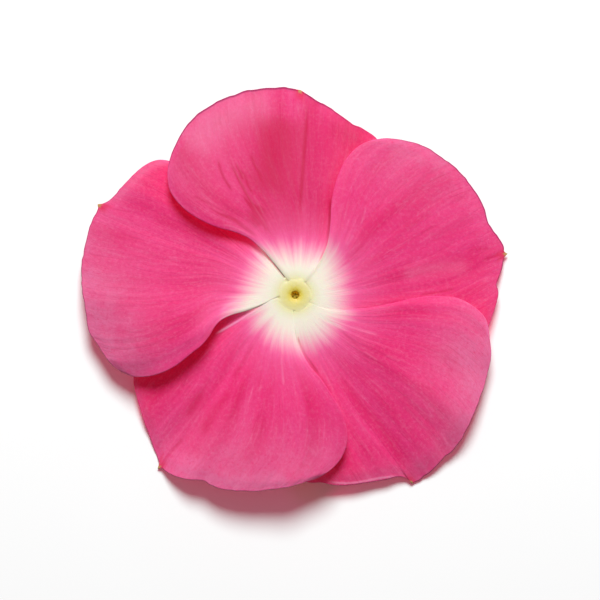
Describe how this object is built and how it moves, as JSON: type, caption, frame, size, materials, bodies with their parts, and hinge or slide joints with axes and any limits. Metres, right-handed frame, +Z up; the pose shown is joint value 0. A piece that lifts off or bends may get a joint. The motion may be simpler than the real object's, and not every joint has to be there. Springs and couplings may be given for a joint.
{
  "type": "vinca flower",
  "caption": "Picked vinca blossom lying face up, with lapped pink lobes, a pale eye and its slender tube folded back beneath.",
  "frame": {"origin": "bottom centre of the flower's bounding box, on the surface it lies on", "axes": "+Z up, out of the face of the flower; +X across its widest span"},
  "size_m": [0.0498, 0.0476, 0.0069],
  "materials": {
    "petal": "velvety pink petal with a cream eye",
    "rim": "waxy yellow rim",
    "tube": "pale green with a pink flush",
    "anther": "dull golden pollen",
    "calyx": "green, finely downy"
  },
  "bodies": {
    "root": {"corolla_limb": "petal", "throat_rim": "rim", "corolla_tube": "tube", "anthers": "anther", "calyx": "calyx"}
  },
  "joints": []
}
